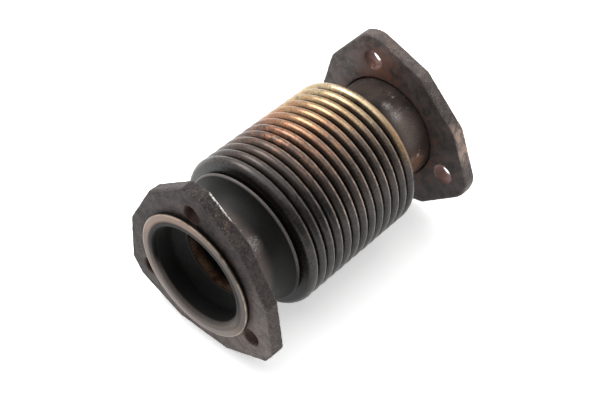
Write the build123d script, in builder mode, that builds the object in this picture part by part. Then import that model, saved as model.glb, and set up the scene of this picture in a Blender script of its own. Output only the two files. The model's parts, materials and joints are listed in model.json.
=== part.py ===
# Metal bellows expansion joint with two loose three-bolt flanges.
# Millimetres. +X runs along the pipe axis from the inlet to the outlet, and +Z is up.
# The origin is the centre of the inlet bolt circle, in the plane of that flange's outer face.
# The joint lies on its side on its two flanges, as it would on a bench.
import os
from math import cos, radians, sin, sqrt

from build123d import *

os.makedirs("parts", exist_ok=True)

# Overall layout, measured along the axis from either sealing lip towards the middle.
overall_length = 151.4
flange_setback = 2.9      # from the sealing lip's face to the flange's outer face
flange_thickness = 7.0

# Stub: one drawn piece with a turned-out sealing lip, a neck and a flared bell.
neck_radius = 28.5
stub_wall = 2.0
bore_radius = neck_radius - stub_wall
lip_radius = 34.0
lip_thickness = 2.2
mouth_radius = 2.3        # rounding where the bore opens into the lip
lip_edge_chamfer = 0.3
neck_end = 22.4           # where the neck starts to flare
flare_radius = 12.3
flare_angle = 62.5

# Bellows: thirteen convolutions pressed from one thin tube, shown here as separate rings.
convolution_count = 13
convolution_pitch = 6.0
convolution_width = 4.5
crest_radius = 41.0
root_radius = 31.0
bellows_wall = 0.6
bellows_middle = overall_length / 2
first_convolution = bellows_middle - convolution_pitch * (convolution_count - 1) / 2
cuff_gap = 0.05           # left for the weld between the cuff and the inside of the bell

# Flow liner: welded inside the inlet stub, free at the outlet end.
liner_radius = 20.4
liner_wall = 1.2
liner_start = 10.0
liner_throat = 16.3
liner_end = 118.0
liner_weld_gap = 0.05
liner_seat_depth = 0.5    # the inlet bore widens by this much behind a shoulder, to seat the liner

# Loose flanges. Each outline has three corner flats, three side flats and six tapers.
flange_bore_radius = 29.15
flange_edge_radius = 0.5
hole_edge_chamfer = 0.3
inlet_outline = {"corner": 51.1, "corner_half": 5.3, "side": 41.8, "side_half": 15.4}
inlet_rounding = {"corner": 1.5, "side": 1.5}
inlet_bolts = {"circle_radius": 38.4, "hole_radius": 5.25}
inlet_turn = -0.8
outlet_outline = {"corner": 53.8, "corner_half": 4.6, "side": 43.4, "side_half": 16.7}
outlet_rounding = {"corner": 10.0, "side": 2.1}
outlet_bolts = {"circle_radius": 39.8, "hole_radius": 5.5}
outlet_turn = -15.6
corner_count = 3


def from_inlet(distance):
    """X of a point that lies this far inside the inlet lip's face."""
    return distance - flange_setback


def from_outlet(distance):
    """X of a point that lies this far inside the outlet lip's face."""
    return overall_length - distance - flange_setback


def from_axis(point):
    """Distance from the pipe axis of a vertex in a sketch that stands across it."""
    return Vector(point.X, point.Y).length


def save(piece, name):
    """Label a finished piece and write its STEP file."""
    piece.part.label = name
    export_step(piece.part, f"parts/{name}.step")


def make_stub(x_at, seat_depth, name):
    """Sealing lip, neck and bell, turned about the pipe axis, with a seat for the liner."""
    flare_centre = (x_at(neck_end), neck_radius + flare_radius)
    lift = radians(90 - flare_angle)
    halfway = radians(90 - flare_angle / 2)

    def on_flare(radius, angle):
        return (
            x_at(neck_end + radius * cos(angle)),
            flare_centre[1] - radius * sin(angle),
        )

    seat_radius = bore_radius + seat_depth
    inner_flare = flare_radius + stub_wall - seat_depth
    round_offset = mouth_radius * (1 - cos(radians(45)))
    with BuildPart() as stub:
        with BuildSketch(Plane.XZ):
            with BuildLine():
                Polyline(
                    (x_at(0), bore_radius + mouth_radius),
                    (x_at(0), lip_radius - lip_edge_chamfer),
                    (x_at(lip_edge_chamfer), lip_radius),
                    (x_at(lip_thickness), lip_radius),
                    (x_at(lip_thickness), neck_radius),
                    (x_at(neck_end), neck_radius),
                )
                ThreePointArc(
                    (x_at(neck_end), neck_radius),
                    on_flare(flare_radius, halfway),
                    on_flare(flare_radius, lift),
                )
                Line(on_flare(flare_radius, lift), on_flare(inner_flare, lift))
                ThreePointArc(
                    on_flare(inner_flare, lift),
                    on_flare(inner_flare, halfway),
                    (x_at(neck_end), seat_radius),
                )
                if seat_depth:
                    Polyline(
                        (x_at(neck_end), seat_radius),
                        (x_at(liner_start), seat_radius),
                        (x_at(liner_start), bore_radius),
                        (x_at(mouth_radius), bore_radius),
                    )
                else:
                    Line((x_at(neck_end), bore_radius), (x_at(mouth_radius), bore_radius))
                ThreePointArc(
                    (x_at(mouth_radius), bore_radius),
                    (x_at(round_offset), bore_radius + round_offset),
                    (x_at(0), bore_radius + mouth_radius),
                )
            make_face()
        revolve(axis=Axis.X)
    save(stub, name)


def make_flange(outline, rounding, bolts, turn, outer_face, inward, name):
    """Three-cornered loose flange with its bolt holes, standing across the pipe axis."""
    # On this plane, local x is +Y and local y is +Z, so the turn is seen from the outlet.
    face_plane = Plane(origin=(outer_face, 0, 0), x_dir=(0, 1, 0), z_dir=(1, 0, 0))
    bolt_angle = 90 + turn
    corners = []
    for index in range(corner_count):
        for distance, half, extra in (
            (outline["corner"], outline["corner_half"], 0),
            (outline["side"], outline["side_half"], 180 / corner_count),
        ):
            angle = radians(bolt_angle + 360 / corner_count * index + extra)
            for side in (-1, 1):
                corners.append((
                    distance * cos(angle) - side * half * sin(angle),
                    distance * sin(angle) + side * half * cos(angle),
                ))
    # Corner points lie beyond this distance from the axis, and side points within it.
    corner_limit = (outline["corner"] + outline["side"]) / 2
    with BuildPart() as flange:
        with BuildSketch(face_plane) as plate:
            with BuildLine():
                Polyline(*corners, close=True)
            make_face()
            fillet(
                plate.vertices().filter_by(lambda point: from_axis(point) > corner_limit),
                radius=rounding["corner"],
            )
            fillet(
                plate.vertices().filter_by(lambda point: from_axis(point) < corner_limit),
                radius=rounding["side"],
            )
        extrude(amount=inward * flange_thickness)
        rim_edges = flange.faces().filter_by(Axis.X).edges()
        fillet(rim_edges, radius=flange_edge_radius)
        with BuildSketch(face_plane):
            Circle(flange_bore_radius)
        extrude(amount=inward * flange_thickness, mode=Mode.SUBTRACT)
        with BuildSketch(face_plane):
            with PolarLocations(bolts["circle_radius"], corner_count, start_angle=bolt_angle):
                Circle(bolts["hole_radius"])
        extrude(amount=inward * flange_thickness, mode=Mode.SUBTRACT)
        hole_edges = flange.edges().filter_by(GeomType.CIRCLE).filter_by(
            lambda edge: abs(edge.radius - bolts["hole_radius"]) < 0.01)
        chamfer(hole_edges, length=hole_edge_chamfer)
    save(flange, name)


def make_liner():
    """Inner sleeve: a funnel welded to the inlet bore, then a plain tube."""
    outer_radius = liner_radius + liner_wall
    seat_radius = bore_radius + liner_seat_depth - liner_weld_gap
    edge_radius = bore_radius - liner_weld_gap
    bulge_end = liner_start + (liner_throat - liner_start) / 2
    with BuildPart() as liner:
        with BuildSketch(Plane.XZ):
            with BuildLine():
                Bezier(
                    (from_inlet(liner_start), edge_radius),
                    (from_inlet(bulge_end), edge_radius),
                    (from_inlet(liner_throat), liner_radius),
                )
                Polyline(
                    (from_inlet(liner_throat), liner_radius),
                    (from_inlet(liner_end), liner_radius),
                    (from_inlet(liner_end), outer_radius),
                    (from_inlet(liner_throat + liner_wall), outer_radius),
                    (from_inlet(bulge_end), seat_radius),
                    (from_inlet(liner_start), seat_radius),
                    (from_inlet(liner_start), edge_radius),
                )
            make_face()
        revolve(axis=Axis.X)
    save(liner, "flow_liner")


def make_cuff(x_at, seat_depth, name):
    """Plain end of the bellows tube, welded inside the bell."""
    inner_flare = flare_radius + stub_wall - seat_depth
    drop = neck_radius + flare_radius - root_radius - bellows_wall
    cuff_start = neck_end + sqrt(inner_flare ** 2 - drop ** 2) + cuff_gap
    cuff_end = first_convolution - convolution_width / 2
    with BuildPart() as cuff:
        with BuildSketch(Plane.XZ):
            with BuildLine():
                Polyline(
                    (x_at(cuff_start), root_radius),
                    (x_at(cuff_end), root_radius),
                    (x_at(cuff_end), root_radius + bellows_wall),
                    (x_at(cuff_start), root_radius + bellows_wall),
                    close=True,
                )
            make_face()
        revolve(axis=Axis.X)
    save(cuff, name)


def make_convolution(index):
    """One U-shaped ring of the bellows: two flanks and a round crest."""
    middle = from_inlet(first_convolution + convolution_pitch * index)
    outer_half = convolution_width / 2
    inner_half = outer_half - bellows_wall
    arc_centre = crest_radius - outer_half
    with BuildPart() as ring:
        with BuildSketch(Plane.XZ):
            with BuildLine():
                Line((middle - outer_half, root_radius), (middle - outer_half, arc_centre))
                ThreePointArc(
                    (middle - outer_half, arc_centre),
                    (middle, crest_radius),
                    (middle + outer_half, arc_centre),
                )
                Polyline(
                    (middle + outer_half, arc_centre),
                    (middle + outer_half, root_radius),
                    (middle + inner_half, root_radius),
                    (middle + inner_half, arc_centre),
                )
                ThreePointArc(
                    (middle + inner_half, arc_centre),
                    (middle, arc_centre + inner_half),
                    (middle - inner_half, arc_centre),
                )
                Polyline(
                    (middle - inner_half, arc_centre),
                    (middle - inner_half, root_radius),
                    (middle - outer_half, root_radius),
                )
            make_face()
        revolve(axis=Axis.X)
    save(ring, f"convolution_{index + 1:02d}")


make_stub(from_inlet, liner_seat_depth, "inlet_stub")
make_stub(from_outlet, 0, "outlet_stub")
make_flange(inlet_outline, inlet_rounding, inlet_bolts, inlet_turn,
            from_inlet(flange_setback), 1, "inlet_flange")
make_flange(outlet_outline, outlet_rounding, outlet_bolts, outlet_turn,
            from_outlet(flange_setback), -1, "outlet_flange")
make_liner()
make_cuff(from_inlet, liner_seat_depth, "inlet_cuff")
make_cuff(from_outlet, 0, "outlet_cuff")
for convolution in range(convolution_count):
    make_convolution(convolution)
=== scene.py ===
import json
import math

import bmesh
import bpy
from mathutils import Matrix, Vector, noise


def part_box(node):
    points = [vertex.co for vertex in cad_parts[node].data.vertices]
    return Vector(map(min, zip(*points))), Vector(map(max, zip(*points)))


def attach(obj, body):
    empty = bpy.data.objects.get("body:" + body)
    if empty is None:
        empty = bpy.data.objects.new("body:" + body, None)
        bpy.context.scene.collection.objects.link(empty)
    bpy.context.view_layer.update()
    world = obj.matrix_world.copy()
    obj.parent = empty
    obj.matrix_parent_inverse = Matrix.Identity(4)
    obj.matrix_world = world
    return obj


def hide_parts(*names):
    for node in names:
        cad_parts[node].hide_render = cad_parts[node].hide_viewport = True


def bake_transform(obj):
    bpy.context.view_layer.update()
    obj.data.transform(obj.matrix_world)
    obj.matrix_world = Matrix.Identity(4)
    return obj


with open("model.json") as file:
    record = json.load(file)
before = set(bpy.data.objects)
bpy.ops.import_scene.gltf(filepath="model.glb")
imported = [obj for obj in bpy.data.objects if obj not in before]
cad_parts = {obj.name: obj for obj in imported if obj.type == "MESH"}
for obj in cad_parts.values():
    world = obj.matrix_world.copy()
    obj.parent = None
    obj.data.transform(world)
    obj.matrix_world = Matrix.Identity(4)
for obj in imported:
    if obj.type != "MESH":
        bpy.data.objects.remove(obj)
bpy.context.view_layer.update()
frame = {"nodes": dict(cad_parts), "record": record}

mm = 0.001
mergeWithin = 0.001 * mm       # points of a CAD mesh closer than this are one point
turnMerge = 0.005 * mm         # the same where a turned shape closes
grainShift = (0.13, 0.07, 0.11)

# where the ends and the crests are, read from the frame
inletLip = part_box("inlet_stub")[0].x
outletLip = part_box("outlet_stub")[1].x
partMiddle = (inletLip + outletLip) / 2
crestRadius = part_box("convolution_01")[1].z
ringCount = sum(1 for node in frame["nodes"] if node.startswith("convolution_"))


def ringMiddle(number):
    low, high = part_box(f"convolution_{number:02d}")
    return (low.x + high.x) / 2


firstCrest = ringMiddle(1)
lastCrest = ringMiddle(ringCount)
pitch = (lastCrest - firstCrest) / (ringCount - 1)


# helpers for meshes

def arcPoints(centre, radius, startAngle, endAngle, steps):
    # angles in degrees, 0 along the pipe axis and 90 away from it
    points = []
    for step in range(steps + 1):
        angle = math.radians(startAngle + (endAngle - startAngle) * step / steps)
        points.append((centre[0] + radius * math.cos(angle), centre[1] + radius * math.sin(angle)))
    return points


def pieceFromMesh(name, mesh):
    piece = bpy.data.objects.new(name, mesh)
    bpy.context.scene.collection.objects.link(piece)
    return piece


def turnProfile(name, profile, turns, closed):
    # profile points are (along the axis, radius), in order so that faces end up outwards
    mesh = bpy.data.meshes.new(name)
    count = len(profile)
    edges = [(index, index + 1) for index in range(count - 1)]
    if closed:
        edges.append((count - 1, 0))
    mesh.from_pydata([(along, 0, radius) for along, radius in profile], edges, [])
    piece = pieceFromMesh(name, mesh)
    screw = piece.modifiers.new("turn", "SCREW")
    screw.axis = "X"
    screw.angle = 2 * math.pi
    screw.steps = turns
    screw.render_steps = turns
    screw.use_merge_vertices = True
    screw.merge_threshold = turnMerge
    screw.use_smooth_shade = True
    return piece


def applyStack(piece):
    # the finished mesh takes the place of the modifiers
    depsgraph = bpy.context.evaluated_depsgraph_get()
    mesh = bpy.data.meshes.new_from_object(piece.evaluated_get(depsgraph))
    piece.modifiers.clear()
    old = piece.data
    piece.data = mesh
    bpy.data.meshes.remove(old)


def shadeBySharpness(piece, degrees):
    piece.data.shade_smooth()
    piece.data.set_sharp_from_angle(angle=math.radians(degrees))


def paintPiece(piece, material):
    piece.data.materials.clear()
    piece.data.materials.append(material)


# helper for materials

class Finish:
    # builds one node material from a dictionary of values, its look
    # a range in a look is (from, to), or (from, to, value at from, value at to)

    def __init__(self, name, look, placeAttribute=None):
        self.look = look
        self.material = bpy.data.materials.new(name)
        self.material.use_nodes = True
        self.nodes = self.material.node_tree.nodes
        self.links = self.material.node_tree.links
        self.shader = self.nodes["Principled BSDF"]
        self.shader.inputs["Specular IOR Level"].default_value = look["gloss"]
        if placeAttribute:
            # a piece that bends keeps its places at rest in an attribute
            source = self.nodes.new("ShaderNodeAttribute")
            source.attribute_name = placeAttribute
            self.place = source.outputs["Vector"]
        else:
            self.place = self.nodes.new("ShaderNodeTexCoord").outputs["Object"]
        parts = self.nodes.new("ShaderNodeSeparateXYZ")
        self.links.new(self.place, parts.inputs[0])
        self.x, self.y, self.z = parts.outputs
        squares = self.plus(self.times(self.y, self.y), self.times(self.z, self.z))
        self.radius = self.calc("SQRT", squares)

    def feed(self, socket, value):
        if isinstance(value, bpy.types.NodeSocket):
            self.links.new(value, socket)
        elif isinstance(value, tuple) and len(value) == 3 and socket.type == "RGBA":
            socket.default_value = (*value, 1)
        else:
            socket.default_value = value

    def calc(self, operation, first, second=0.0):
        node = self.nodes.new("ShaderNodeMath")
        node.operation = operation
        self.feed(node.inputs[0], first)
        self.feed(node.inputs[1], second)
        return node.outputs[0]

    def times(self, first, *others):
        for other in others:
            first = self.calc("MULTIPLY", first, other)
        return first

    def plus(self, first, second):
        return self.calc("ADD", first, second)

    def minus(self, first, second):
        return self.calc("SUBTRACT", first, second)

    def most(self, first, second):
        return self.calc("MAXIMUM", first, second)

    def step(self, value, low, high, start=0.0, end=1.0):
        # a smooth rise from start to end as value goes from low to high
        node = self.nodes.new("ShaderNodeMapRange")
        node.interpolation_type = "SMOOTHSTEP"
        for socket, number in zip(node.inputs[1:5], (low, high, start, end)):
            socket.default_value = number
        self.feed(node.inputs[0], value)
        return node.outputs[0]

    def mask(self, value, key):
        return self.step(value, *self.look[key])

    def maskMm(self, value, key):
        # the same for a length, its range in millimetres
        low, high, *ends = self.look[key]
        return self.step(value, low * mm, high * mm, *ends)

    def grain(self, size, detail=3.0, roughness=0.5, stretch=(1, 1, 1), shift=0.0, warp=0.0):
        # two grains with a different shift don't repeat each other
        mapping = self.nodes.new("ShaderNodeMapping")
        mapping.inputs["Scale"].default_value = stretch
        mapping.inputs["Location"].default_value = [shift * way for way in grainShift]
        self.links.new(self.place, mapping.inputs["Vector"])
        node = self.nodes.new("ShaderNodeTexNoise")
        node.inputs["Scale"].default_value = 1 / (size * mm)
        node.inputs["Detail"].default_value = detail
        node.inputs["Roughness"].default_value = roughness
        node.inputs["Distortion"].default_value = warp
        self.links.new(mapping.outputs[0], node.inputs["Vector"])
        return node.outputs[0]

    def around(self, along, radius, key):
        # 1 near a spot of the surface, falling to 0; the angle is from +Y towards +Z
        angle, inner, outer = self.look[key][-3:]
        turn = math.radians(angle)
        spot = Vector((along, radius * math.cos(turn) * mm, radius * math.sin(turn) * mm))
        node = self.nodes.new("ShaderNodeVectorMath")
        node.operation = "DISTANCE"
        node.inputs[1].default_value = spot
        self.links.new(self.place, node.inputs[0])
        return self.step(node.outputs["Value"], outer * mm, inner * mm)

    def mix(self, amount, first, second, blend="MIX"):
        node = self.nodes.new("ShaderNodeMix")
        node.data_type = "RGBA"
        node.blend_type = blend
        self.feed(node.inputs["Factor"], amount)
        self.feed(node.inputs[6], first)
        self.feed(node.inputs[7], second)
        return node.outputs[2]

    def tone(self, colour, amount):
        return self.mix(1.0, colour, amount, "MULTIPLY")

    def attribute(self, name):
        node = self.nodes.new("ShaderNodeAttribute")
        node.attribute_name = name
        return node.outputs["Fac"]

    def finish(self, colour, roughness, metal, relief):
        self.feed(self.shader.inputs["Base Color"], colour)
        self.feed(self.shader.inputs["Roughness"], roughness)
        self.feed(self.shader.inputs["Metallic"], metal)
        bump = self.nodes.new("ShaderNodeBump")
        bump.inputs["Strength"].default_value = 1.0
        bump.inputs["Distance"].default_value = self.look["reliefDepth"] * mm
        self.feed(bump.inputs["Height"], relief)
        self.links.new(bump.outputs[0], self.shader.inputs["Normal"])
        return self.material


print("frame loaded:", ringCount, "convolutions, pitch", round(pitch / mm, 2), "mm")

# bellows: one folded tube, cut at the crests so that each fold can flex

bellows = {
    "turns": 180,
    "wallThickness": 0.4,
    "crestHalfWidth": 2.25,    # half the width of a convolution
    "rootRadius": 31.0,
    "crestSteps": 6,
    "rootSteps": 6,
    "calmZone": 1.0,           # a zone either side of each crest's middle
    "shoulderRadius": 3.0,     # the first and last crests are fuller towards the ends
    "shoulderTurn": 82,
    "shoulderSteps": 8,
    # from the shoulder down to the cuff: how far past the crest, and at what radius
    "cuffLine": ((3.35, 35.6), (3.75, 33.6), (4.4, 32.3), (5.3, 31.75), (6.5, 31.7)),
    "waviness": 0.10,          # how far a crest wanders in or out
    "wavySize": 14.0,
    "denting": 0.05,
    "dentSize": 3.5,
    "dentShift": 40,           # the shifts keep the three wobbles apart
    "sidewaysShift": 60,
    "sharpAngle": 50,
}


def waver(piece):
    # the same place always moves the same way, so neighbouring folds still meet
    dentShift = Vector((bellows["dentShift"], 0, 0))
    sidewaysShift = Vector((0, bellows["sidewaysShift"], 0))
    for vertex in piece.data.vertices:
        place = vertex.co / mm
        outward = Vector((0, vertex.co.y, vertex.co.z)).normalized()
        slow = noise.noise(place / bellows["wavySize"]) * bellows["waviness"]
        fast = noise.noise(place / bellows["dentSize"] + dentShift) * bellows["denting"]
        sideways = noise.noise(place / bellows["wavySize"] + sidewaysShift)
        vertex.co += outward * (slow + fast) * mm
        vertex.co.x += sideways * bellows["waviness"] * mm


def foldProfile(leftCrest):
    half = bellows["crestHalfWidth"] * mm
    arcCentre = crestRadius - half
    gapHalf = pitch / 2 - half
    rootCentre = bellows["rootRadius"] * mm + gapHalf
    left = arcPoints((leftCrest, arcCentre), half, 90, 0, bellows["crestSteps"])
    middle = arcPoints((leftCrest + pitch / 2, rootCentre), gapHalf, 180, 360, bellows["rootSteps"])
    right = arcPoints((leftCrest + pitch, arcCentre), half, 180, 90, bellows["crestSteps"])
    return left + middle + right


def endProfile(crest, outward):
    # from the crest down the full shoulder to the cuff; outward is -1 at the inlet, 1 at the outlet
    shoulder = bellows["shoulderRadius"] * mm
    lastAngle = 90 - bellows["shoulderTurn"] * outward
    crown = arcPoints((crest, crestRadius - shoulder), shoulder, 90, lastAngle, bellows["shoulderSteps"])
    return crown + [(crest + outward * past * mm, radius * mm) for past, radius in bellows["cuffLine"]]


def makeFold(name, profile):
    if profile[0][0] > profile[-1][0]:
        profile = profile[::-1]
    piece = turnProfile(name, profile, bellows["turns"], closed=False)
    wall = piece.modifiers.new("wall", "SOLIDIFY")
    wall.thickness = bellows["wallThickness"] * mm
    wall.offset = -1
    applyStack(piece)
    waver(piece)
    places = piece.data.attributes.new("restPlace", "FLOAT_VECTOR", "POINT")
    for vertex in piece.data.vertices:
        places.data[vertex.index].vector = vertex.co
    shadeBySharpness(piece, bellows["sharpAngle"])
    return piece


inletRoll = makeFold("bellowsInletRoll", endProfile(firstCrest, -1))
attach(inletRoll, "inlet_end")
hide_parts("inlet_cuff", "convolution_01")
folds = [inletRoll]
for number in range(1, ringCount):
    crest = ringMiddle(number)
    fold = makeFold(f"bellowsFold{number:02d}", foldProfile(crest))
    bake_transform(fold)
    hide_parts(f"convolution_{number + 1:02d}")
    folds.append(fold)
outletRoll = makeFold("bellowsOutletRoll", endProfile(lastCrest, 1))
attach(outletRoll, "outlet_end")
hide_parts("outlet_cuff")
folds.append(outletRoll)
print("bellows:", len(folds), "folds")

# end stubs: sealing lip, neck and flared bell

stub = {
    "turns": 192,
    "neckRadius": 28.5,
    "wall": 2.0,
    "lipRadius": 34.0,
    "lipThickness": 2.2,
    "lipEdge": 0.35,           # rounding of the lip's outer corners
    "mouthRadius": 2.3,
    "neckEnd": 22.4,           # the neck runs this far from the lip's face, then flares
    "flareRadius": 12.3,
    "flareAngle": 62.5,
    "flareSteps": 14,
    "backWall": 1.5,           # thickness of the flare
    "backFillet": 0.6,         # between the lip's back and the neck
    "roundSteps": 8,
    "edgeSteps": 4,
    "sharpAngle": 45,
}


def stubProfile():
    # distances run from the lip's face towards the bellows
    size = {key: value * mm for key, value in stub.items()}
    bore = size["neckRadius"] - size["wall"]
    edge = size["lipEdge"]
    edgeCentre = size["lipRadius"] - edge
    lipBack = size["lipThickness"]
    fillet = size["backFillet"]
    flareCentre = (size["neckEnd"], size["neckRadius"] + size["flareRadius"])
    lift = -90 + stub["flareAngle"]
    inner = size["flareRadius"] + size["backWall"]
    outerFlare = arcPoints(flareCentre, size["flareRadius"], -90, lift, stub["flareSteps"])
    innerFlare = arcPoints(flareCentre, inner, lift, -90, stub["flareSteps"])
    rimMiddle = [(a + b) / 2 for a, b in zip(outerFlare[-1], innerFlare[0])]
    mouthCentre = (size["mouthRadius"], bore + size["mouthRadius"])
    return (
        arcPoints(mouthCentre, size["mouthRadius"], 270, 180, stub["roundSteps"])
        + arcPoints((edge, edgeCentre), edge, 180, 90, stub["edgeSteps"])
        + arcPoints((lipBack - edge, edgeCentre), edge, 90, 0, stub["edgeSteps"])
        + arcPoints((lipBack + fillet, size["neckRadius"] + fillet), fillet, 180, 270, stub["edgeSteps"])
        + outerFlare[:-1]
        + arcPoints(rimMiddle, size["backWall"] / 2, lift + 180, lift, stub["roundSteps"])
        + innerFlare[1:]
    )


def makeStub(name, node, body, facing):
    # facing is 1 where the profile runs along +X, -1 at the other end
    lip = inletLip if facing > 0 else outletLip
    profile = [(lip + facing * along, radius) for along, radius in stubProfile()]
    if facing < 0:
        profile = profile[::-1]
    piece = turnProfile(name, profile, stub["turns"], closed=True)
    applyStack(piece)
    shadeBySharpness(piece, stub["sharpAngle"])
    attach(piece, body)
    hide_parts(node)
    return piece


inletStub = makeStub("inletStubShell", "inlet_stub", "inlet_end", 1)
outletStub = makeStub("outletStubShell", "outlet_stub", "outlet_end", -1)
print("stubs: inlet and outlet")

# loose flanges: forged plates with rough rims

flange = {
    "voxel": 0.5,
    "smoothing": 2,
    "softness": 0.5,
    "growth": 0.15,         # makes up for what remeshing rounds off
    "rimGrowth": 0.30,      # the same for the rim, added to the growth
    "holeGrowth": 0.42,     # and for the bolt holes' walls
    "boreRadius": 29.15,
    "rimStart": 8.0,        # the rim lies at least this far outside the bore
    "holeReach": 6.6,       # a hole's wall lies within this of its middle
    "holeLean": 0.8,        # and its faces lean less than this along the pipe
    "edgeLean": 0.7,        # edges wear where the faces lean out this much
    "edgeSpread": 0.3,
    "rimLumps": 0.16,       # how rough the sawn and forged rim is
    "rimLumpSize": 4.0,
    "lumpFalloff": 0.9,
    "lumpGap": 2.0,
    "lumpLayers": 3,
    "rimPits": 0.24,
    "rimPitSize": 1.1,
    "pitLevel": 0.12,
    "faceWaves": 0.06,
    "faceWaveSize": 7.0,
}


def boltHoles(node):
    # middles of the flange's bolt holes, from the openings in the record
    holes = []
    for opening in frame["record"]["physics"]["openings"]:
        if opening["name"].startswith(node.split("_")[0] + "_bolt"):
            middle = [(low + high) / 2 for low, high in zip(*opening["box_m"])]
            holes.append(Vector((0, middle[1], middle[2])))
    return holes


def evenPlate(name, node):
    # a copy of the CAD plate with small even faces
    mesh = frame["nodes"][node].data.copy()
    shaper = bmesh.new()
    shaper.from_mesh(mesh)
    bmesh.ops.remove_doubles(shaper, verts=shaper.verts, dist=mergeWithin)
    shaper.to_mesh(mesh)
    shaper.free()
    mesh.materials.clear()
    piece = pieceFromMesh(name, mesh)
    remesh = piece.modifiers.new("evenMesh", "REMESH")
    remesh.mode = "VOXEL"
    remesh.voxel_size = flange["voxel"] * mm
    soften = piece.modifiers.new("soften", "SMOOTH")
    soften.factor = flange["softness"]
    soften.iterations = flange["smoothing"]
    applyStack(piece)
    return piece


def makeFlange(name, node, body, seed):
    piece = evenPlate(name, node)
    mesh = piece.data
    rimInner = flange["boreRadius"] * mm + flange["rimStart"] * mm
    edgeWear = mesh.attributes.new("edgeWear", "FLOAT", "POINT")
    rimShare = mesh.attributes.new("rimShare", "FLOAT", "POINT")
    boltWall = mesh.attributes.new("boltWall", "FLOAT", "POINT")
    holes = boltHoles(node)
    normals = [vertex.normal.copy() for vertex in mesh.vertices]
    for vertex, normal in zip(mesh.vertices, normals):
        outward = Vector((0, vertex.co.y, vertex.co.z))
        facesOut = normal.dot(outward.normalized())
        onRim = max(0.0, facesOut) if outward.length > rimInner else 0.0
        wear = 1 - abs(onRim - flange["edgeLean"]) / flange["edgeSpread"]
        edgeWear.data[vertex.index].value = max(0.0, wear)
        nearest = min((outward - hole).length for hole in holes)
        inHole = nearest < flange["holeReach"] * mm and abs(normal.x) < flange["holeLean"]
        if inHole:
            onRim = 0.0
        rimShare.data[vertex.index].value = onRim
        boltWall.data[vertex.index].value = 1.0 if inHole else 0.0
        # lumps and pits on the rim, slow waves on the faces
        place = vertex.co / mm + Vector((seed, 0, 0))
        lumps = noise.fractal(place / flange["rimLumpSize"], flange["lumpFalloff"], flange["lumpGap"],
                              flange["lumpLayers"])
        pits = min(0.0, noise.noise(place / flange["rimPitSize"]) + flange["pitLevel"])
        waves = noise.noise(place / flange["faceWaveSize"])
        height = onRim * (flange["rimLumps"] * lumps + flange["rimPits"] * pits)
        height += flange["faceWaves"] * waves + flange["rimGrowth"] * onRim
        height += flange["holeGrowth"] if inHole else 0.0
        vertex.co += normal * (height + flange["growth"]) * mm
    mesh.shade_smooth()
    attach(piece, body)
    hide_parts(node)
    return piece


inletFlange = makeFlange("inletFlangePlate", "inlet_flange", "inlet_flange", 3)
outletFlange = makeFlange("outletFlangePlate", "outlet_flange", "outlet_flange", 90)
print("flanges:", len(inletFlange.data.polygons), "and", len(outletFlange.data.polygons), "faces")

# flow liner: funnel and plain sleeve

liner = {
    "turns": 160,
    "radius": 20.4,            # inside, past the throat
    "wall": 1.2,
    "start": 10.0,             # distances from the inlet lip's face
    "throat": 16.3,
    "collarRadius": 26.95,
    "mouthEdge": 26.45,
    "funnelSteps": 10,
    "sharpAngle": 30,
}


def makeLiner():
    size = {key: value * mm for key, value in liner.items()}
    start = inletLip + size["start"]
    throat = inletLip + size["throat"]
    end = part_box("flow_liner")[1].x
    outer = size["radius"] + size["wall"]
    funnel = []
    for step in range(liner["funnelSteps"] + 1):
        share = step / liner["funnelSteps"]
        radius = (1 - share ** 2) * size["mouthEdge"] + share ** 2 * size["radius"]
        funnel.append((start + (throat - start) * share, radius))
    profile = [
        (start, size["collarRadius"]),
        ((start + throat) / 2, size["collarRadius"]),
        (throat + size["wall"], outer),
        (end, outer),
        (end, size["radius"]),
    ] + funnel[::-1]
    piece = turnProfile("flowLinerSleeve", profile, liner["turns"], closed=True)
    applyStack(piece)
    shadeBySharpness(piece, liner["sharpAngle"])
    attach(piece, "inlet_end")
    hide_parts("flow_liner")
    return piece


flowLiner = makeLiner()
print("liner: one sleeve")

# colours that the finishes share

tints = {
    "charcoal": (0.024, 0.022, 0.021),
    "charcoalWarm": (0.050, 0.041, 0.037),
    "darkBrown": (0.090, 0.056, 0.042),
    "copper": (0.365, 0.200, 0.118),
    "bronze": (0.470, 0.305, 0.165),
    "olive": (0.265, 0.225, 0.130),
    "ember": (0.330, 0.135, 0.066),
    "crestGlint": (0.520, 0.395, 0.325),
    "smokedBrown": (0.105, 0.080, 0.068),
    "gold": (0.570, 0.445, 0.280),
    "groove": (0.004, 0.0035, 0.003),
    "lipTan": (0.215, 0.135, 0.092),
    "lipGrey": (0.130, 0.098, 0.080),
    "lipPaintedShade": (0.062, 0.048, 0.040),
    "lipEdge": (0.420, 0.330, 0.260),
    "paintedLightPale": (0.180, 0.152, 0.138),
    "soot": (0.0035, 0.0033, 0.003),
    "neckBrown": (0.078, 0.058, 0.050),
    "neckOrange": (0.260, 0.140, 0.090),
    "neckPale": (0.270, 0.218, 0.198),
    "bell": (0.012, 0.0115, 0.011),
    "holePink": (0.430, 0.290, 0.270),
    "holeRed": (0.210, 0.120, 0.102),
    "forged": (0.125, 0.100, 0.095),
    "forgedDark": (0.050, 0.041, 0.038),
    "forgedPaintedLight": (0.300, 0.250, 0.230),
    "forgedRim": (0.052, 0.043, 0.040),
    "rust": (0.170, 0.068, 0.036),
    "redRust": (0.185, 0.078, 0.050),
    "rustDark": (0.070, 0.030, 0.018),
    "linerRust": (0.520, 0.330, 0.210),
    "ochre": (0.340, 0.195, 0.100),
    "sand": (0.440, 0.325, 0.260),
    "bare": (0.900, 0.870, 0.840),
    "scratch": (0.520, 0.460, 0.430),
}

# bellows finish: heat tint on the upper side, its edge partly painted light; painted shade in the grooves
# and on the flanks; painted highlights along the crests

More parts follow.
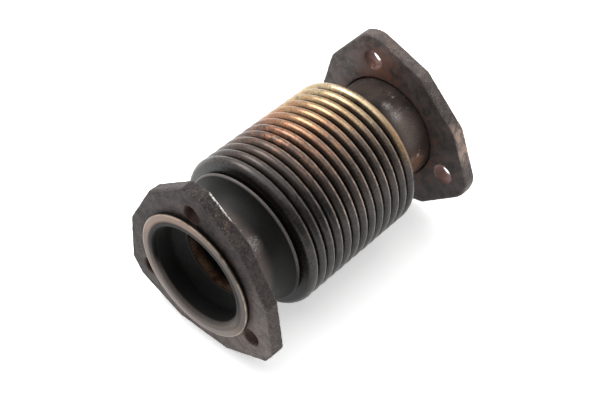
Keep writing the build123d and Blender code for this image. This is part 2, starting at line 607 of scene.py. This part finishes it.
bellowsLook = {
    "gloss": 0.35,
    "cloud": {"size": 16, "detail": 4, "roughness": 0.6, "warp": 0.6},
    "patch": {"size": 5, "detail": 3, "roughness": 0.55, "shift": 11},
    "speckle": {"size": 1.1, "detail": 4, "roughness": 0.65, "shift": 3},
    "streak": {"size": 3.0, "detail": 3, "roughness": 0.6, "stretch": (2.5, 1, 1), "shift": 7},
    "hotUp": 0.90,                          # the hot side looks up and back
    "hotBack": 0.42,
    "hot": (0.36, 0.98),
    "wander": 0.6,                          # how far the clouds shift the tint
    "wanderAlong": 0.8,
    # each tint along the bellows, where it starts and where it is full
    "tintOrder": (
        ("darkBrown", -0.05, 0.30),
        ("copper", 0.32, 0.58),
        ("bronze", 0.50, 0.80),
        ("gold", 0.82, 1.02),
    ),
    "olivePatches": (0.50, 0.72),
    "oliveAlong": (0.45, 0.75, 0, 0.7),
    "emberStart": (0.22, 0.42),
    "emberEnd": (0.78, 0.58),
    "emberStreaks": (0.44, 0.60, 0.0, 0.8),
    "coldPatches": (0.40, 0.75),
    "smokedHeight": (0.10, 0.65),
    "smokedAlong": (0.15, 0.60),
    "lastFoldAlong": (0.955, 0.985),        # the last fold stays tinted on its cold side
    "lastFoldHeight": (0.30, 0.72),
    "lastFoldShare": 0.8,
    "mottle": (0.26, 0.62, 0.76, 1.08),
    "bands": (0.30, 0.70, 0.84, 1.12),
    "grooveShadeDepth": (2.3, 0.35),               # painted shade below the crest: black, then clear
    "farSlope": (-6, 10),
    "inletFlankShade": (-0.14, -0.34),            # painted shade across a crest, in shares of the pitch
    "outletFlankShade": (0.10, 0.30),
    "flankShadeAlong": (0.1, 0.5, 0.2, 0.85),
    "flankShadeHeight": (0.2, 0.7, 0.3, 1.0),
    "glintAcross": (0.04, 0.16),
    "glintStreaks": (0.38, 0.62, 0.18, 1.0),
    "glintDepth": (1.3, 0.5),
    "glintHeight": (0.05, 0.55, 0.35, 1.0),
    "glintStart": (0.05, 0.4, 0.15, 1.0),
    "glintEnd": (1.0, 0.85, 0.45, 1.0),
    "glintShare": 0.95,
    "hotMetal": (0.15, 0.75),
    "leastMetal": 0.25,
    "moreMetal": 0.60,
    "roughness": (0.2, 0.8, 0.22, 0.40),
    "speckleRelief": 0.6,
    "reliefDepth": 0.035,
}


def bellowsFinish():
    look = bellowsLook
    paint = Finish("heatTintedBellows", look, placeAttribute="restPlace")
    cloud = paint.grain(**look["cloud"])
    patch = paint.grain(**look["patch"])
    speckle = paint.grain(**look["speckle"])
    streak = paint.grain(**look["streak"])
    length = paint.calc("DIVIDE", paint.minus(paint.x, firstCrest), lastCrest - firstCrest)
    height = paint.calc("DIVIDE", paint.z, paint.radius)
    # the hot side's tint deepens towards the outlet; the hot side's mask is sharpened to the light's
    # fall-off, so it is partly painted light
    lean = paint.plus(paint.times(paint.z, look["hotUp"]), paint.times(paint.y, look["hotBack"]))
    hotTurn = paint.calc("DIVIDE", lean, paint.radius)
    wander = paint.times(paint.minus(cloud, 0.5), look["wander"])
    heatAndLightMask = paint.mask(paint.plus(hotTurn, wander), "hot")
    along = paint.plus(length, paint.times(wander, look["wanderAlong"]))
    colour = tints["charcoalWarm"]
    for tint, start, full in look["tintOrder"]:
        colour = paint.mix(paint.step(along, start, full), colour, tints[tint])
    olive = paint.times(paint.mask(patch, "olivePatches"), paint.mask(along, "oliveAlong"))
    colour = paint.mix(olive, colour, tints["olive"])
    # orange streaks where the tint is deepest
    ember = paint.times(paint.mask(along, "emberStart"), paint.mask(along, "emberEnd"),
                        paint.mask(streak, "emberStreaks"))
    colour = paint.mix(ember, colour, tints["ember"])
    # the cold side is charcoal, smoked brown further up
    cold = paint.mix(paint.mask(patch, "coldPatches"), tints["charcoal"], tints["charcoalWarm"])
    smoked = paint.times(paint.mask(height, "smokedHeight"), paint.mask(along, "smokedAlong"))
    cold = paint.mix(smoked, cold, tints["smokedBrown"])
    lastFold = paint.times(paint.mask(length, "lastFoldAlong"), paint.mask(height, "lastFoldHeight"),
                           look["lastFoldShare"])
    cold = paint.mix(lastFold, cold, tints["bronze"])
    colour = paint.mix(heatAndLightMask, cold, colour)
    colour = paint.tone(colour, paint.mask(speckle, "mottle"))
    colour = paint.tone(colour, paint.mask(streak, "bands"))
    # painted shade: the grooves go black below each crest
    black, clear = look["grooveShadeDepth"]
    outside = paint.step(paint.radius, crestRadius - black * mm, crestRadius - clear * mm)
    colour = paint.mix(outside, tints["groove"], colour)
    # painted shade on the inlet side of a crest, but on the far slope of the bellows on its other side
    turns = paint.calc("DIVIDE", paint.minus(paint.x, firstCrest), pitch)
    across = paint.minus(turns, paint.calc("ROUND", turns))
    farSlope = paint.maskMm(paint.y, "farSlope")
    nearSlope = paint.minus(1.0, farSlope)
    inletSide = paint.times(paint.mask(across, "inletFlankShade"), nearSlope)
    outletSide = paint.times(paint.mask(across, "outletFlankShade"), farSlope)
    flankShade = paint.times(paint.plus(inletSide, outletSide), paint.mask(length, "flankShadeAlong"),
                        paint.mask(height, "flankShadeHeight"))
    colour = paint.mix(flankShade, colour, tints["groove"])
    # painted highlight along each crest's outlet shoulder, on the near slope of the bellows
    low, high = look["glintDepth"]
    shoulder = paint.step(paint.radius, crestRadius - low * mm, crestRadius - high * mm)
    crestGlint = paint.times(
        paint.mask(across, "glintAcross"), paint.mask(streak, "glintStreaks"), shoulder,
        paint.mask(height, "glintHeight"), paint.mask(length, "glintStart"),
        paint.mask(length, "glintEnd"), nearSlope)
    colour = paint.mix(paint.times(crestGlint, look["glintShare"]), colour, tints["crestGlint"])
    hotMetal = paint.times(heatAndLightMask, paint.mask(along, "hotMetal"))
    metal = paint.times(paint.most(hotMetal, crestGlint), look["moreMetal"])
    metal = paint.times(paint.plus(look["leastMetal"], metal), outside)
    roughness = paint.mask(speckle, "roughness")
    relief = paint.plus(paint.times(speckle, look["speckleRelief"]), streak)
    return paint.finish(colour, roughness, metal, relief)


# stub finish: brown necks, sooty bells, tan sealing faces and a black inside

stubLook = {
    "gloss": 0.35,
    "cloud": {"size": 9, "detail": 4, "roughness": 0.6, "warp": 0.4},
    "speckle": {"size": 0.9, "detail": 4, "roughness": 0.65, "shift": 5},
    "fine": {"size": 0.35, "detail": 2, "roughness": 0.5, "shift": 9},
    "neckClouds": (0.35, 0.7),
    "rustClouds": (0.50, 0.68),
    "rustHeight": (20, -8),
    "rustShare": 0.7,
    # spots: distance from the lip, angle from +Y towards +Z, full within, gone beyond
    "inletPale": (19.4, 138, 2, 13),
    "inletPaleShare": 0.45,
    "outletSheen": (26.0, 140, 5, 18),
    "outletSheenShare": 0.92,
    "outletOrange": (22.4, 184, 3, 12),
    "orangeShare": 0.85,
    "inletBare": (19.9, 135, 0.0, 6.0),
    "outletBare": (22.4, 122, 0.0, 5.0),
    "outletBareBack": (22.4, 108, 0.0, 4.0),
    "bareGrain": {"size": 0.7, "detail": 4, "roughness": 0.75, "shift": 23},
    "bareBroken": (0.48, 0.64, 0.12, 1.0),
    "bareShare": 0.65,
    "bellSoot": (18, 26),
    "outletSootShift": 6,                   # the outlet bell is sooty only further in
    "sootShiftOver": 20,
    "rimRadius": (34.5, 35.0),
    "rimHeight": (-5, 15, 0.05, 0.25),
    "scuffGrain": {"size": 0.5, "detail": 2, "stretch": (0.22, 1.0, 0.45), "shift": 2, "warp": 0.2},
    "scuffs": (0.60, 0.68),
    "scuffPatchGrain": {"size": 6, "detail": 2, "shift": 12},
    "scuffPatches": (0.50, 0.62),
    "scuffReach": 20,
    "scuffShare": 0.8,
    "behindLip": (0.5, 0.9),                # near-black behind the sealing lip
    "behindLipEnd": (6.0, 4.0),
    "cornerRadius": (33.2, 33.7),
    "cornerDistance": (0.9, 0.4),
    "cornerClouds": (0.42, 0.58, 0.15, 0.8),
    "faceDistance": (0.75, 0.35),
    "faceRadius": (29.5, 30.8),
    "faceSpeckle": (0.35, 0.75),
    "nearSideShade": (4, -24),                   # painted shade on two sides of the face, painted floor light at its foot
    "nearShadeHeight": (-26, -8),
    "farSideShade": (18, 30, 0.0, 0.6),
    "farShadeHeight": (16, 2),
    "foot": (-14, -27, 0.0, 0.85),
    "mouthDistance": (2.4, 1.2),
    "roundingRadius": (31.5, 30.5),
    "burntHeight": (6, -10),
    "inside": (28.5, 27.0),
    "reflectionRadius": (30.6, 29.6),
    "reflectionHeight": (-4, -16, 0.0, 0.55),
    "mottle": (0.25, 0.75, 0.75, 1.2),
    "roughness": (0.2, 0.8, 0.28, 0.44),
    "insideRoughness": 0.35,
    "bellRoughness": 0.18,
    "metal": 0.45,
    "bellDullness": 0.65,
    "dullness": 0.8,
    "fineRelief": 0.5,
    "scuffRelief": 0.6,
    "reliefDepth": 0.04,
}


def neckSpot(paint, facing, key):
    # facing is 1 for the inlet's neck, -1 for the outlet's
    lip = inletLip if facing > 0 else outletLip
    return paint.around(lip + facing * paint.look[key][0] * mm, stub["neckRadius"], key)


def neckColour(paint, cloud):
    look = paint.look
    neck = paint.mix(paint.mask(cloud, "neckClouds"), tints["neckBrown"], tints["charcoalWarm"])
    rusty = paint.times(paint.mask(cloud, "rustClouds"), paint.maskMm(paint.z, "rustHeight"))
    neck = paint.mix(paint.times(rusty, look["rustShare"]), neck, tints["rust"])
    # the inlet neck is worn paler along one side; the outlet neck's pale patch is a painted highlight
    outletSheen = paint.times(neckSpot(paint, -1, "outletSheen"), look["outletSheenShare"])
    inletPale = paint.times(neckSpot(paint, 1, "inletPale"), look["inletPaleShare"])
    neck = paint.mix(paint.most(outletSheen, inletPale), neck, tints["neckPale"])
    orange = paint.times(neckSpot(paint, -1, "outletOrange"), look["orangeShare"])
    return paint.mix(orange, neck, tints["neckOrange"])


def lipFaceColour(paint, speckle):
    tan = paint.mix(paint.mask(speckle, "faceSpeckle"), tints["lipTan"], tints["lipGrey"])
    # painted shade on two sides of the face, painted floor light at its foot
    nearSideShade = paint.times(paint.maskMm(paint.y, "nearSideShade"), paint.maskMm(paint.z, "nearShadeHeight"))
    tan = paint.mix(nearSideShade, tan, tints["lipPaintedShade"])
    farSideShade = paint.times(paint.maskMm(paint.y, "farSideShade"), paint.maskMm(paint.z, "farShadeHeight"))
    tan = paint.mix(farSideShade, tan, tints["lipPaintedShade"])
    return paint.mix(paint.maskMm(paint.z, "foot"), tan, tints["paintedLightPale"])


def stubFinish():
    look = stubLook
    paint = Finish("drawnStubSteel", look)
    fromInlet = paint.minus(paint.x, inletLip)
    fromOutlet = paint.minus(outletLip, paint.x)
    distance = paint.calc("MINIMUM", fromInlet, fromOutlet)
    cloud = paint.grain(**look["cloud"])
    speckle = paint.grain(**look["speckle"])
    fine = paint.grain(**look["fine"])
    # neck, then bell
    sootShift = paint.step(paint.x, partMiddle, partMiddle + look["sootShiftOver"] * mm,
                           0.0, look["outletSootShift"] * mm)
    onBell = paint.maskMm(paint.minus(distance, sootShift), "bellSoot")
    colour = paint.mix(onBell, neckColour(paint, cloud), tints["bell"])
    rim = paint.times(paint.maskMm(paint.radius, "rimRadius"), paint.maskMm(paint.z, "rimHeight"))
    colour = paint.mix(rim, colour, tints["scratch"])
    # scuffs in patches on the neck
    scuffs = paint.mask(paint.grain(**look["scuffGrain"]), "scuffs")
    patches = paint.mask(paint.grain(**look["scuffPatchGrain"]), "scuffPatches")
    onNeck = paint.calc("LESS_THAN", distance, look["scuffReach"] * mm)
    scuffs = paint.times(scuffs, patches, onNeck)
    colour = paint.mix(paint.times(scuffs, look["scuffShare"]), colour, tints["scratch"])
    # bare spots, broken up by finer scuffing
    bare = paint.most(neckSpot(paint, 1, "inletBare"), neckSpot(paint, -1, "outletBare"))
    bare = paint.most(bare, neckSpot(paint, -1, "outletBareBack"))
    bare = paint.times(bare, paint.mask(paint.grain(**look["bareGrain"]), "bareBroken"))
    colour = paint.mix(paint.times(bare, look["bareShare"]), colour, tints["bare"])
    # sealing lip: near-black behind it, burnt rounding, tan face with painted shade on two sides and
    # painted floor light at its foot, and a bright outer corner, partly edge wear, partly painted
    # highlight
    behind = paint.times(paint.maskMm(distance, "behindLip"), paint.maskMm(distance, "behindLipEnd"))
    colour = paint.mix(behind, colour, tints["groove"])
    atMouth = paint.maskMm(distance, "mouthDistance")
    rounding = paint.times(atMouth, paint.maskMm(paint.radius, "roundingRadius"))
    burnt = paint.mix(paint.maskMm(paint.z, "burntHeight"), tints["soot"], tints["charcoalWarm"])
    colour = paint.mix(rounding, colour, burnt)
    face = paint.times(paint.maskMm(distance, "faceDistance"), paint.maskMm(paint.radius, "faceRadius"))
    colour = paint.mix(face, colour, lipFaceColour(paint, speckle))
    # a bright line along the lip's outer corner, partly edge wear, partly painted highlight
    corner = paint.times(paint.maskMm(paint.radius, "cornerRadius"),
                         paint.maskMm(distance, "cornerDistance"), paint.mask(cloud, "cornerClouds"))
    colour = paint.mix(corner, colour, tints["lipEdge"])
    # soot inside, with a painted reflection in pale lip colour on the lower part of the mouth
    inside = paint.maskMm(paint.radius, "inside")
    colour = paint.mix(inside, colour, tints["soot"])
    mouthReflection = paint.times(atMouth, paint.maskMm(paint.radius, "reflectionRadius"),
                        paint.maskMm(paint.z, "reflectionHeight"))
    colour = paint.mix(mouthReflection, colour, tints["paintedLightPale"])
    colour = paint.tone(colour, paint.mask(speckle, "mottle"))
    roughness = paint.plus(paint.mask(speckle, "roughness"), paint.times(inside, look["insideRoughness"]))
    roughness = paint.plus(roughness, paint.times(onBell, look["bellRoughness"]))
    # bells and the burnt rounding shine less
    dull = paint.most(paint.times(onBell, look["bellDullness"]), rounding)
    shine = paint.minus(1.0, paint.times(dull, look["dullness"]))
    metal = paint.times(paint.minus(1.0, inside), look["metal"], shine)
    paint.feed(paint.shader.inputs["Specular IOR Level"], paint.times(shine, look["gloss"]))
    relief = paint.plus(speckle, paint.times(fine, look["fineRelief"]))
    relief = paint.minus(relief, paint.times(scuffs, look["scuffRelief"]))
    return paint.finish(colour, roughness, metal, relief)


# flange finish: forged grey-brown, rust by the neck; each flange has its own wear

flangeLook = {
    "cloud": {"size": 11, "detail": 4, "roughness": 0.6, "warp": 0.5, "shift": 4},
    "patch": {"size": 5, "detail": 4, "roughness": 0.65, "warp": 0.8, "shift": 8},
    "speckle": {"size": 0.9, "detail": 4, "roughness": 0.7, "shift": 6},
    "fine": {"size": 0.35, "detail": 2, "roughness": 0.6, "shift": 1},
    "forgedClouds": (0.3, 0.7),
    "rimToneShare": 0.72,
    "blotches": (0.32, 0.66, 0.70, 1.28),
    "grit": (0.34, 0.66, 0.50, 1.50),
    "pits": (0.46, 0.30, 0.0, 0.75),
    "nearNeck": (42, 30),
    "nearNeckShare": 0.16,
    "boltRust": 0.20,
    "rustSpeckle": (0.3, 0.7),
    "dustPatches": (0.48, 0.64),
    "dustSpeckle": (0.45, 0.58),
    "dustFine": (0.42, 0.56),
    "dustHeight": (26, 46, 0.25, 1.0),
    "specksRim": (0.3, 0.9),
    "specks": (0.50, 0.66),
    "specksShare": 0.10,
    "edgeSpeckle": (0.40, 0.65),
    "edgeShare": 0.16,
    "metal": 0.25,
    "roughness": (0.2, 0.8, 0.46, 0.70),
    "speckleRelief": 1.5,
    "patchRelief": 0.8,
    "reliefDepth": 0.16,
}

inletFlangeLook = {
    **flangeLook,
    "gloss": 0.18,
    "faceTone": 0.52,
    "rimTone": 0.66,
    "downY": -0.6,                          # the side that looks down and to -Y is painted paler, as painted light from the floor
    "downZ": 0.8,
    "downPaintedLight": (-15, 40, 0.0, 0.9),
    "rust": (0.66, 0.80, 0.0, 0.7),
    "boltWallShare": 0.25,
    "dustRim": (0.3, 0.8, 0.05, 0.45),
    # bare chips along the inner edge of one taper
    "chipRagged": 3.5,
    "chipAlong": (5.6, 6.1),
    "chipWear": (0.05, 0.4),
    "chipHeight": (24, 28),
    "chipBack": (-4, -6),
    "chipFront": (-19, -16),
    "chipSpeckle": (0.42, 0.50),
    "chipMetal": 0.5,
}

outletFlangeLook = {
    **flangeLook,
    "gloss": 0.32,
    "faceTone": 1.05,
    "rimTone": 2.0,
    "shadedSide": (-14, -30, 0.0, 0.65),
    "rust": (0.61, 0.75, 0.0, 0.7),
    "wallGrain": {"size": 9.0, "detail": 1, "roughness": 0.4, "shift": 15},
    "wallSpots": (0.40, 0.62),
    "boltWallShare": 0.9,
    "dustRim": (0.3, 0.8, 0.05, 0.12),
    # sand-coloured wear on one tapered side: angle from +Y towards +Z, full within, gone beyond
    "sandDepth": 3,
    "sandRadius": 46.4,
    "sandSpot": (164, 6.0, 15.0),
    "sandRim": (0.45, 0.75),
    "sandPatches": (0.34, 0.56, 0.2, 0.9),
    # red rust on the face above the neck
    "redRadius": 36.0,
    "redSpot": (80, 5.0, 20.0),
    "redPatches": (0.36, 0.60, 0.1, 0.9),
}


def flangeFinish(name, look):
    paint = Finish(name, look)
    cloud = paint.grain(**look["cloud"])
    patch = paint.grain(**look["patch"])
    speckle = paint.grain(**look["speckle"])
    fine = paint.grain(**look["fine"])
    rim = paint.attribute("rimShare")
    wear = paint.attribute("edgeWear")
    bolt = paint.attribute("boltWall")
    colour = paint.mix(paint.mask(cloud, "forgedClouds"), tints["forgedDark"], tints["forged"])
    # painted light: the face is paler towards its lower side
    if "downPaintedLight" in look:
        down = paint.minus(paint.times(paint.y, look["downY"]), paint.times(paint.z, look["downZ"]))
        colour = paint.mix(paint.maskMm(down, "downPaintedLight"), colour, tints["forgedPaintedLight"])
    if "shadedSide" in look:
        colour = paint.mix(paint.maskMm(paint.y, "shadedSide"), colour, tints["forgedDark"])
    # faceTone and rimTone tone the same forged steel apart on each flange to match how each is lit:
    # painted light on the outlet flange, painted shade on the inlet flange
    colour = paint.tone(colour, (look["faceTone"],) * 3)
    rimColour = tuple(look["rimTone"] * share for share in tints["forgedRim"])
    colour = paint.mix(paint.times(rim, look["rimToneShare"]), colour, rimColour)
    colour = paint.tone(colour, paint.mask(patch, "blotches"))
    colour = paint.tone(colour, paint.mask(fine, "grit"))
    colour = paint.mix(paint.mask(speckle, "pits"), colour, tints["forgedDark"])
    # rust close to the neck, in patches and inside the bolt holes
    nearNeck = paint.times(paint.maskMm(paint.radius, "nearNeck"), look["nearNeckShare"])
    rust = paint.mask(paint.plus(patch, nearNeck), "rust")
    rust = paint.most(rust, paint.times(bolt, look["boltRust"]))
    rustColour = paint.mix(paint.mask(speckle, "rustSpeckle"), tints["rustDark"], tints["rust"])
    colour = paint.mix(rust, colour, rustColour)
    wallColour = tints["rustDark"]
    if "wallSpots" in look:
        spotted = paint.mask(paint.grain(**look["wallGrain"]), "wallSpots")
        wallColour = paint.mix(spotted, tints["holeRed"], tints["holePink"])
    colour = paint.mix(paint.times(bolt, look["boltWallShare"]), colour, wallColour)
    # ochre dusting on the rim, high up most
    dusting = paint.times(paint.mask(patch, "dustPatches"), paint.mask(speckle, "dustSpeckle"),
                          paint.mask(rim, "dustRim"), paint.mask(fine, "dustFine"),
                          paint.maskMm(paint.z, "dustHeight"))
    colour = paint.mix(dusting, colour, tints["ochre"])
    # paler specks on the rim and along its edges
    specks = paint.times(paint.mask(rim, "specksRim"), paint.mask(speckle, "specks"))
    colour = paint.mix(paint.times(specks, look["specksShare"]), colour, tints["scratch"])
    edge = paint.times(wear, paint.mask(speckle, "edgeSpeckle"))
    colour = paint.mix(paint.times(edge, look["edgeShare"]), colour, tints["scratch"])
    metal = look["metal"]
    if "chipAlong" in look:
        ragged = paint.plus(paint.x, paint.times(paint.minus(patch, 0.5), look["chipRagged"] * mm))
        chips = paint.times(
            paint.maskMm(ragged, "chipAlong"), paint.mask(wear, "chipWear"),
            paint.maskMm(paint.z, "chipHeight"), paint.maskMm(paint.y, "chipBack"),
            paint.maskMm(paint.y, "chipFront"), paint.mask(speckle, "chipSpeckle"))
        colour = paint.mix(chips, colour, tints["bare"])
        metal = paint.plus(paint.times(chips, look["chipMetal"]), look["metal"])
    if "sandSpot" in look:
        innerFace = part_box("outlet_flange")[0].x
        sandy = paint.around(innerFace + look["sandDepth"] * mm, look["sandRadius"], "sandSpot")
        sandy = paint.times(sandy, paint.mask(rim, "sandRim"), paint.mask(patch, "sandPatches"))
        colour = paint.mix(sandy, colour, tints["sand"])
        reddened = paint.around(innerFace, look["redRadius"], "redSpot")
        reddened = paint.times(reddened, paint.mask(patch, "redPatches"))
        colour = paint.mix(reddened, colour, tints["redRust"])
    roughness = paint.mask(speckle, "roughness")
    relief = paint.plus(paint.times(speckle, look["speckleRelief"]), fine)
    relief = paint.plus(relief, paint.times(patch, look["patchRelief"]))
    return paint.finish(colour, roughness, metal, relief)


# liner finish: black, with rust showing just past the throat

linerLook = {
    "gloss": 0.35,
    "cloud": {"size": 9, "detail": 4, "roughness": 0.65, "warp": 0.6},
    "speckle": {"size": 0.8, "detail": 3, "roughness": 0.6, "shift": 5},
    "rustClouds": (0.35, 0.7),
    "rustSpeckle": (0.4, 0.75),
    "rustStart": (-0.2, 1.2),               # from the throat
    "rustEnd": (7, 1),
    "lowSide": (2, -15, 0.04, 1.0),
    "rustShare": 0.95,
    "edgeStart": (-1.0, -0.3),
    "edgeEnd": (0.5, 0),
    "edgeRadius": (21.2, 20.8),
    "edgeShare": 0.12,
    "roughness": (0.2, 0.8, 0.6, 0.85),
    "metal": 0.1,
    "reliefDepth": 0.06,
}


def linerFinish():
    look = linerLook
    paint = Finish("sootyLiner", look)
    cloud = paint.grain(**look["cloud"])
    speckle = paint.grain(**look["speckle"])
    throat = inletLip + liner["throat"] * mm

    def fromThroat(key):
        low, high = look[key]
        return paint.step(paint.x, throat + low * mm, throat + high * mm)

    rust = paint.mix(paint.mask(cloud, "rustClouds"), tints["rust"], tints["linerRust"])
    rust = paint.mix(paint.mask(speckle, "rustSpeckle"), rust, tints["rustDark"])
    rusted = paint.times(fromThroat("rustStart"), fromThroat("rustEnd"),
                         paint.maskMm(paint.z, "lowSide"), look["rustShare"])
    colour = paint.mix(rusted, tints["soot"], rust)
    edge = paint.times(fromThroat("edgeStart"), fromThroat("edgeEnd"),
                       paint.maskMm(paint.radius, "edgeRadius"), look["edgeShare"])
    colour = paint.mix(edge, colour, tints["lipTan"])
    return paint.finish(colour, paint.mask(speckle, "roughness"), look["metal"], speckle)


bellowsPaint = bellowsFinish()
for fold in folds:
    paintPiece(fold, bellowsPaint)
stubPaint = stubFinish()
paintPiece(inletStub, stubPaint)
paintPiece(outletStub, stubPaint)
paintPiece(inletFlange, flangeFinish("forgedInletFlange", inletFlangeLook))
paintPiece(outletFlange, flangeFinish("forgedOutletFlange", outletFlangeLook))
paintPiece(flowLiner, linerFinish())
print("finishes: applied")

# floor, light and camera

studio = {
    "floorHalf": 3.0,
    "floorColour": (0.90, 0.90, 0.90),
    "floorRoughness": 0.9,
    "floorGlow": 0.53,         # backlit paper, which keeps the shadows faint
    "floorClearance": 0.15,
    "backWallGlow": 1.0,       # the room is bright behind the part
    "frontWallGlow": 0.10,     # and dark behind the camera
    "wallTurn": (-0.35, 0.55),
    "backDirection": (0.60, 0.74, 0.30),
    "overheadPower": 15.5,
    "overheadSize": 2.2,
    "overheadPlace": (0.20, 0.20, 1.25),
    "keyPower": 4.6,
    "keySize": 0.50,
    "keyPlace": (0.00, 0.60, 0.78),
}

cameraView = {
    "heading": 41.56,          # degrees from +X towards +Y
    "dip": 45.13,
    "roll": 0.43,
    "lens": 71.86,
    "sensor": 36,
    "nearest": 0.01,
    "distance": 0.5943,
    "aim": (0.06994, -0.00119, -0.00292),
}


def makeFloor():
    # the floor leans a little, so that both flanges stand on it
    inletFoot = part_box("inlet_flange")[0]
    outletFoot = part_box("outlet_flange")[0]
    slope = (outletFoot.z - inletFoot.z) / (outletFoot.x - inletFoot.x)
    half = studio["floorHalf"]
    ground = []
    for x, y in ((-half, -half), (half, -half), (half, half), (-half, half)):
        height = inletFoot.z + slope * (x - inletFoot.x) - studio["floorClearance"] * mm
        ground.append((x, y, height))
    mesh = bpy.data.meshes.new("floorSheet")
    mesh.from_pydata(ground, [], [(0, 1, 2, 3)])
    floor = pieceFromMesh("floorSheet", mesh)
    paper = bpy.data.materials.new("whitePaper")
    paper.use_nodes = True
    shader = paper.node_tree.nodes["Principled BSDF"]
    shader.inputs["Base Color"].default_value = (*studio["floorColour"], 1)
    shader.inputs["Roughness"].default_value = studio["floorRoughness"]
    shader.inputs["Emission Color"].default_value = (1, 1, 1, 1)
    shader.inputs["Emission Strength"].default_value = studio["floorGlow"]
    mesh.materials.append(paper)


def makeLamp(name, power, size, place):
    lamp = bpy.data.lights.new(name, "AREA")
    lamp.energy = power
    lamp.shape = "DISK"
    lamp.size = size
    holder = bpy.data.objects.new(name, lamp)
    bpy.context.scene.collection.objects.link(holder)
    middle = Vector((partMiddle, 0, 0))
    holder.location = middle + Vector(place)
    holder.rotation_euler = (middle - holder.location).to_track_quat("-Z", "Y").to_euler()


def makeRoom():
    # bright walls behind the part, dark ones behind the camera
    world = bpy.data.worlds.new("paleStudio")
    bpy.context.scene.world = world
    world.use_nodes = True
    nodes = world.node_tree.nodes
    links = world.node_tree.links
    direction = nodes.new("ShaderNodeTexCoord").outputs["Generated"]
    towardsBack = nodes.new("ShaderNodeVectorMath")
    towardsBack.operation = "DOT_PRODUCT"
    towardsBack.inputs[1].default_value = Vector(studio["backDirection"]).normalized()
    links.new(direction, towardsBack.inputs[0])
    glow = nodes.new("ShaderNodeMapRange")
    glow.interpolation_type = "SMOOTHSTEP"
    limits = (*studio["wallTurn"], studio["frontWallGlow"], studio["backWallGlow"])
    for socket, number in zip(glow.inputs[1:5], limits):
        socket.default_value = number
    links.new(towardsBack.outputs["Value"], glow.inputs[0])
    # the camera itself sees plain white
    seen = nodes.new("ShaderNodeLightPath").outputs["Is Camera Ray"]
    strength = nodes.new("ShaderNodeMath")
    strength.operation = "MAXIMUM"
    links.new(glow.outputs[0], strength.inputs[0])
    links.new(seen, strength.inputs[1])
    sky = nodes["Background"]
    sky.inputs["Color"].default_value = (1, 1, 1, 1)
    links.new(strength.outputs[0], sky.inputs["Strength"])


def makeCamera():
    heading = math.radians(cameraView["heading"])
    dip = math.radians(cameraView["dip"])
    forward = Vector((math.cos(heading) * math.cos(dip), math.sin(heading) * math.cos(dip),
                      -math.sin(dip)))
    right = Vector((math.sin(heading), -math.cos(heading), 0))
    up = right.cross(forward)
    turn = Matrix.Rotation(-math.radians(cameraView["roll"]), 3, forward)
    right, up = turn @ right, turn @ up
    lens = bpy.data.cameras.new("studioCamera")
    lens.lens = cameraView["lens"]
    lens.sensor_width = cameraView["sensor"]
    lens.clip_start = cameraView["nearest"]
    camera = bpy.data.objects.new("studioCamera", lens)
    bpy.context.scene.collection.objects.link(camera)
    spot = Vector(cameraView["aim"]) - forward * cameraView["distance"]
    grid = Matrix((right, up, -forward)).transposed().to_4x4()
    camera.matrix_world = Matrix.Translation(spot) @ grid
    bpy.context.scene.camera = camera


makeFloor()
makeLamp("overheadSoftbox", studio["overheadPower"], studio["overheadSize"], studio["overheadPlace"])
makeLamp("keySoftbox", studio["keyPower"], studio["keySize"], studio["keyPlace"])
makeRoom()
bpy.context.scene.view_settings.view_transform = "Standard"
makeCamera()
print("studio: floor, two softboxes and camera")
